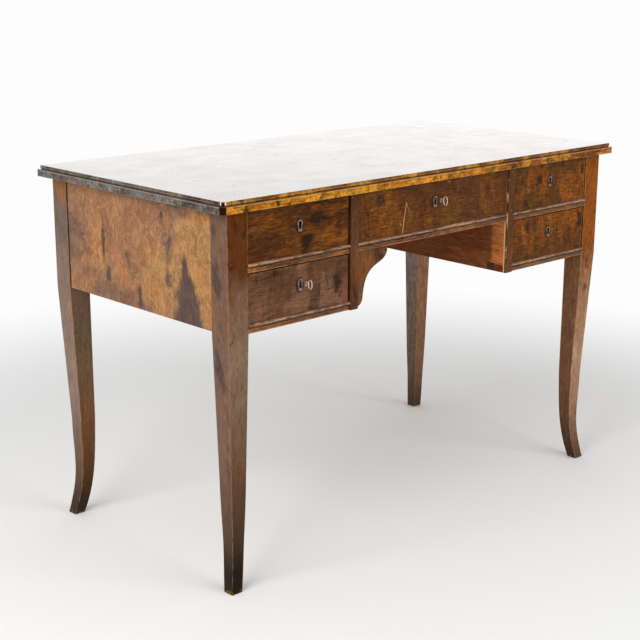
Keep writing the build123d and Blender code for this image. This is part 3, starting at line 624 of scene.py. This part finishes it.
# Each leg's ground in front and at its side, from the foot up, its seed and its marks.
leg_looks = {
    "leg_front_left": (leg_ground(
        [(0.04, "100A08"), (0.10, "3A291F"), (0.25, "5C4234"), (0.44, "78624F"),
         (0.56, "745A48"), (0.62, "542A06")],
        [(0.04, "1A1310"), (0.10, "48392F"), (0.25, "685248"), (0.45, "6C5246"),
         (0.64, "6A5142")], FLANK_SLATE, FRONT_SMEARS),
        21, leg_marks([(-0.262, 0.33, 0.30, 0.0006)])),
    "leg_front_right": (leg_ground(
        [(0.02, "5A3A2A"), (0.12, "8A684E"), (0.25, "A07E62"), (0.42, "946E50"),
         (0.53, "7E4202")],
        [(0.02, "3A261C"), (0.15, "6A4A38"), (0.40, "725038"), (0.50, "745034")],
        smears=[(0.545, 0.60, 0.008, 0.10, 0.10), (0.528, 0.428, 0.014, 0.026, 0.22),
                (0.512, 0.50, 0.006, 0.06, 0.14)]), 23, leg_marks()),
    "leg_back_left": (leg_ground(
        [(0.03, "241812"), (0.10, "4A301C"), (0.22, "66462A"), (0.34, "66543F"),
         (0.50, "6C584A")],
        [(0.03, "33261F"), (0.12, "5E4A40"), (0.30, "847064"), (0.45, "7E6C62"),
         (0.62, "6A5A54"), (0.69, "6A5A54"), (0.715, "8A5A34")]), 25,
        leg_marks([(0.189, 0.205, 0.135, 0.0014), (0.192, 0.19, 0.15, 0.0009)])),
    "leg_back_right": (leg_ground(
        [(0.02, "4A3426"), (0.12, "785640"), (0.40, "8E6A52"), (0.60, "8E684C")],
        [(0.02, "4A3A30"), (0.12, "6E5A4C"), (0.40, "80706A"), (0.60, "80706A")]), 27,
        leg_marks()),
}
for name, (ground, seed, marks) in leg_looks.items():
    flames, mottle, rub = ((0.42, 0.5, "C8A074") if "right" in name
                           else (0.3, 0.3, "B08A62"))
    dress(name, wood(name + "_birch", "z", ("7A5640", "5A3E2A", "33261F"), seed, scale=14,
                     pale=0.6, flames=flames, mottle=mottle, grain=0.25, lines=0.3,
                     amber=0.4, coat=0.05, coat_rough=0.25, gloss=0.15, pale_edge=1.0, rub=rub,
                     wear=0.003, specks=0.05, paint=ground, marks=marks))

# Both ends (X, height) and half width of each scratch on the middle drawer.
CENTRE_STROKES = [
    (-0.0892, 0.6995, -0.0992, 0.6395, 0.0012), (-0.0892, 0.6995, -0.08, 0.68, 0.0005),
    (-0.1068, 0.66, -0.1035, 0.656, 0.001), (-0.1893, 0.6965, -0.186, 0.6955, 0.0009),
    (0.034, 0.728, 0.04, 0.729, 0.0007), (-0.098, 0.664, -0.094, 0.665, 0.0006)]
# Each front's tones, figure, dark and pale shapes (X, height, two half sizes, strength).
front_looks = {
    "left_upper": dict(
        tones=("75430E", "4A280D", "20120C"), run="x", seed=31,
        dark_spots=[(-0.362, 0.66, 0.056, 0.028, 0.15), (-0.33, 0.7, 0.04, 0.02, 0.24),
                    (-0.273, 0.675, 0.014, 0.05, 0.2), (-0.488, 0.715, 0.014, 0.035, 0.14),
                    (-0.33, 0.728, 0.08, 0.012, 0.12), (-0.355, 0.675, 0.02, 0.02, 0.1)],
        pale_spots=[(-0.304, 0.664, 0.026, 0.028, 0.2), (-0.44, 0.65, 0.06, 0.018, 0.1),
                    (-0.44, 0.717, 0.04, 0.016, 0.1), (-0.26, 0.655, 0.02, 0.02, 0.14)],
        marks=front_marks("left_upper")),
    "left_lower": dict(
        tones=("785640", "573A28", "261813"), run="z", seed=33, mottle=0.34,
        flames=0.6,
        dark_spots=[(-0.44, 0.608, 0.08, 0.016, 0.18), (-0.278, 0.572, 0.022, 0.07, 0.2),
                    (-0.327, 0.565, 0.008, 0.035, 0.14), (-0.45, 0.59, 0.012, 0.03, 0.1)],
        pale_spots=[(-0.316, 0.568, 0.01, 0.045, 0.26), (-0.385, 0.545, 0.09, 0.022, 0.12)],
        marks=front_marks("left_lower")),
    "centre": dict(
        tones=("6E4412", "563216", "2A171A"), run="z", seed=35, pale=0.7, flames=0.46,
        mottle=0.7,
        dark_spots=[(-0.162, 0.71, 0.022, 0.026, 0.18), (-0.036, 0.695, 0.014, 0.045, 0.16),
                    # Its dark shape at the bottom left, at (-0.197, 0.645), is a painted
                    # shadow.
                    (-0.197, 0.645, 0.03, 0.014, 0.2), (0.16, 0.7, 0.02, 0.04, 0.1)],
        pale_spots=[(-0.101, 0.715, 0.008, 0.03, 0.2), (-0.164, 0.659, 0.05, 0.02, 0.1),
                    (-0.024, 0.658, 0.03, 0.018, 0.14), (0.05, 0.66, 0.05, 0.025, 0.08)],
        marks=front_marks("centre", CENTRE_STROKES)),
    "right_upper": dict(
        tones=("84480E", "5A350C", "20150A"), run="z", seed=37, scale=22,
        dark_spots=[(0.335, 0.705, 0.03, 0.045, 0.16), (0.262, 0.69, 0.022, 0.05, 0.14),
                    (0.49, 0.7, 0.012, 0.06, 0.2), (0.29, 0.65, 0.03, 0.02, 0.12)],
        pale_spots=[(0.44, 0.67, 0.05, 0.04, 0.12), (0.3, 0.7, 0.012, 0.05, 0.12)],
        marks=front_marks("right_upper")),
    "right_lower": dict(
        tones=("86480A", "5A340C", "20140C"), run="z", seed=39, scale=22,
        dark_spots=[(0.31, 0.6, 0.03, 0.03, 0.14), (0.42, 0.55, 0.05, 0.025, 0.12),
                    (0.488, 0.59, 0.016, 0.06, 0.24), (0.27, 0.555, 0.02, 0.04, 0.1)],
        pale_spots=[(0.44, 0.6, 0.04, 0.02, 0.12), (0.32, 0.57, 0.02, 0.04, 0.1)],
        marks=front_marks("right_lower")),
}
FRONT_LOOK = dict(scale=15, pale=0.75, flames=0.52, mottle=0.78, grain=0.5, lines=0.8,
                  amber=0.5, coat=0.03, coat_rough=0.2, rough=0.42, gloss=0.12, pale_edge=0.5,
                  specks=0.2, soft=0.18)
for name, look in front_looks.items():
    dress(f"{name}_front", wood(f"{name}_front_birch", "x", **{**FRONT_LOOK, **look}))

RAIL_SEEDS = {"rail_middle_left": 41, "rail_middle_right": 43, "rail_bottom_left": 45,
              "rail_bottom_right": 47, "rail_centre": 49}
for name, seed in RAIL_SEEDS.items():
    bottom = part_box(name)[0][2]
    dress(name, wood(name + "_birch", "x", ("8C5424", "5E3614", "28150A"), seed, scale=20,
                     pale=0.75, flames=0.5, mottle=0.85, grain=0.6, coat=0.25,
                     coat_rough=0.18, rough=0.38, gloss=0.3, pale_edge=1.0, rub="B48E6A",
                     grime_and_shade=0.9, specks=0.2, arris=0.0009, paint=rail_ground(bottom),
                     marks=rail_marks(bottom, "bottom" in name)))
dress("facing_left", wood("facing_left_birch", "z", ("6C4226", "4E2C17", "26160F"), 51,
                          flames=0.5, pale_edge=0.8, rub="A07C5E", specks=0.2, grime_and_shade=0.8,
                          coat=0.1, gloss=0.2))
dress("facing_right", wood("facing_right_birch", "z", ("7A4816", "522C0C", "26160C"), 53,
                           flames=0.5, pale_edge=1.0, rub="CDA678", specks=0.5, grime_and_shade=0.5,
                           wear=0.0026, coat=0.1, gloss=0.2, marks=facing_marks))
dress("bracket", wood("bracket_birch", "z", ("76481C", "532E12", "24130A"), 55,
                      flames=0.4, pale_edge=0.6, rub="A87848", mottle=0.5, lines=0.5,
                      pale_spots=[(-0.19, 0.58, 0.03, 0.06, 0.10)],
                      dark_spots=[(-0.145, 0.600, 0.02, 0.02, 0.12),
                                  (-0.222, 0.53, 0.012, 0.05, 0.10)]))
for side, seed in (("left", 57), ("right", 59)):
    dress(f"partition_{side}",
          wood(f"partition_{side}_pine", "y", ("84502E", "703F22", "4A2A14"), seed,
               flames=0.25, coat=0.0, rough=0.6, gloss=0.12, pale_edge=0.5, rub="C49A6C",
               grain=0.6, mottle=0.35, lines=0.6,
               paint=glue_ghost if side == "right" else None))
stained = wood("carcass_pine", "y", ("7A4E30", "684028", "452A1A"), 61,
               flames=0.3, coat=0.0, rough=0.65, gloss=0.15, pale_edge=0.3, grain=0.6)
for name in ("runners_pedestals", "runners_centre", "drawer_stops", "glue_blocks"):
    dress(name, stained)
dress("back_boards", wood("back_pine", "x", ("6E4630", "5A3A28", "3A261C"), 63,
                          flames=0.35, coat=0.05, rough=0.6, gloss=0.2, pale_edge=0.4,
                          grain=0.6))

lock_steel = metal("lock_steel", srgb("4A453E"), 0.5, 0.7)
bolt_brass = metal("bolt_brass", srgb("8E7440"), 0.4, 0.5)
plate_nickel = metal("plate_nickel", srgb("9C8880"), 0.38, 0.6)
key_steel = metal("key_steel", srgb("F0D8BE"), 0.24, 0.25)
for i, name in enumerate(front_looks):
    for part, along in (("sides", "y"), ("back", "x"), ("bottom", "x")):
        dress(f"{name}_{part}",
              wood(f"{name}_{part}_pine", along, ("B98F5C", "A87C4C", "8A6238"),
                   71 + i * 3 + len(part), flames=0.25, coat=0.0, rough=0.7, gloss=0.2,
                   pale_edge=0.15, grain=0.5, mottle=0.25, lines=0.25, grime_and_shade=0.4,
                   amber=0.15))
    dress(f"{name}_lock", lock_steel)
    dress(f"{name}_bolt", bolt_brass)
    dress(f"{name}_keyhole_plate", plate_nickel)
    if f"{name}_key" in nodes:
        dress(f"{name}_key", key_steel)


# ---- floor, light and camera ---------------------------------------------------------
FLOOR_FADE = (0.9, 2.0)                 # metres from the desk's middle
PAPER = 0.985                           # the white ground, just short of clipping
AMBIENT = 0.55                          # the world's light on the object


def make_floor():
    """A pale floor that fades to the white ground away from the desk."""
    bpy.ops.mesh.primitive_plane_add(size=40.0, location=(0, 0, 0))
    floor = bpy.context.object
    floor.name = "floor"
    g = Graph("floor_pale")
    geo = g.node("ShaderNodeNewGeometry")
    far = g.vec("LENGTH", geo.outputs["Position"])
    seen = g.node("ShaderNodeLightPath").outputs["Is Camera Ray"]
    fade = g.math("MULTIPLY", g.ramp(far, *FLOOR_FADE), seen)
    plain = g.node("ShaderNodeBsdfDiffuse", {"Color": (0.9, 0.9, 0.895, 1)})
    white = g.node("ShaderNodeEmission", {"Color": (PAPER, PAPER, PAPER, 1),
                                          "Strength": 1.0})
    both = g.node("ShaderNodeMixShader", {0: fade, 1: plain.outputs[0],
                                          2: white.outputs[0]})
    g.put(g.out.inputs[0], both.outputs[0])
    floor.data.materials.append(g.material)


def make_world():
    """White to the camera and to reflections, and a softer light on the object."""
    world = bpy.data.worlds.new("studio")
    bpy.context.scene.world = world
    world.use_nodes = True
    tree = world.node_tree
    tree.nodes.clear()
    path = tree.nodes.new("ShaderNodeLightPath").outputs

    def background(grey, strength):
        made = tree.nodes.new("ShaderNodeBackground")
        made.inputs[0].default_value = (grey, grey, grey, 1)
        made.inputs[1].default_value = strength
        return made.outputs[0]

    def either(a, b):
        made = tree.nodes.new("ShaderNodeMath")
        made.operation = "MAXIMUM"
        tree.links.new(a, made.inputs[0])
        tree.links.new(b, made.inputs[1])
        return made.outputs[0]

    seen = either(path["Is Camera Ray"],
                  either(path["Is Glossy Ray"], path["Is Transmission Ray"]))
    mix = tree.nodes.new("ShaderNodeMixShader")
    sources = (seen, background(1.0, AMBIENT), background(PAPER, 1.0))
    for slot, source in enumerate(sources):
        tree.links.new(source, mix.inputs[slot])
    out = tree.nodes.new("ShaderNodeOutputWorld")
    tree.links.new(mix.outputs[0], out.inputs[0])


def softbox(name, place, target, size, power, colour=(1, 1, 1), mirrored=False):
    """A rectangular lamp; only a mirrored one shows in polished surfaces."""
    data = bpy.data.lights.new(name, "AREA")
    data.shape = "RECTANGLE"
    data.size, data.size_y = size
    data.energy = power
    data.color = colour
    lamp = bpy.data.objects.new(name, data)
    bpy.context.scene.collection.objects.link(lamp)
    lamp.location = place
    aim = Vector(target) - Vector(place)
    lamp.rotation_euler = aim.to_track_quat("-Z", "Y").to_euler()
    lamp.visible_camera = False
    lamp.visible_glossy = mirrored


# The camera that was solved from the desk's edges in the photograph.
CAMERA_AT = (-2.06574, -2.12143, 1.18545)
CAMERA_AZ = math.radians(-43.2767)
CAMERA_EL = math.radians(15.0719)
CAMERA_ROLL = math.radians(0.1643)
CAMERA_LENS = 77.431                    # mm, on a sensor 36 mm wide


def make_camera():
    """The photograph's camera, from its azimuth, elevation and roll."""
    data = bpy.data.cameras.new("camera")
    data.sensor_fit = "HORIZONTAL"
    data.sensor_width = 36.0
    data.lens = CAMERA_LENS
    data.clip_end = 100.0
    camera = bpy.data.objects.new("camera", data)
    bpy.context.scene.collection.objects.link(camera)
    back = Vector((math.sin(CAMERA_AZ) * math.cos(CAMERA_EL),
                   -math.cos(CAMERA_AZ) * math.cos(CAMERA_EL), math.sin(CAMERA_EL)))
    right = (-back).cross(Vector(UP)).normalized()
    up = right.cross(-back)
    turned_right = right * math.cos(CAMERA_ROLL) + up * math.sin(CAMERA_ROLL)
    turned_up = up * math.cos(CAMERA_ROLL) - right * math.sin(CAMERA_ROLL)
    turn = Matrix((turned_right, turned_up, back)).transposed()
    camera.matrix_world = Matrix.Translation(CAMERA_AT) @ turn.to_4x4()
    bpy.context.scene.camera = camera


make_floor()
make_world()
softbox("key_left", (-3.2, -0.6, 2.3), (0, 0, 0.5), (2.4, 2.0), 72)
softbox("fill_front", (0.8, -3.6, 2.0), (0.1, 0, 0.5), (2.6, 1.8), 55)
# The wide panel behind the desk gives the polished top its pale sheen.
softbox("back_panel", (3.0, 5.6, 2.3), (0, 0, 0.8), (14.0, 4.0), 80,
        (0.94, 0.98, 1.0), True)
make_camera()
bpy.context.scene.view_settings.view_transform = "Standard"
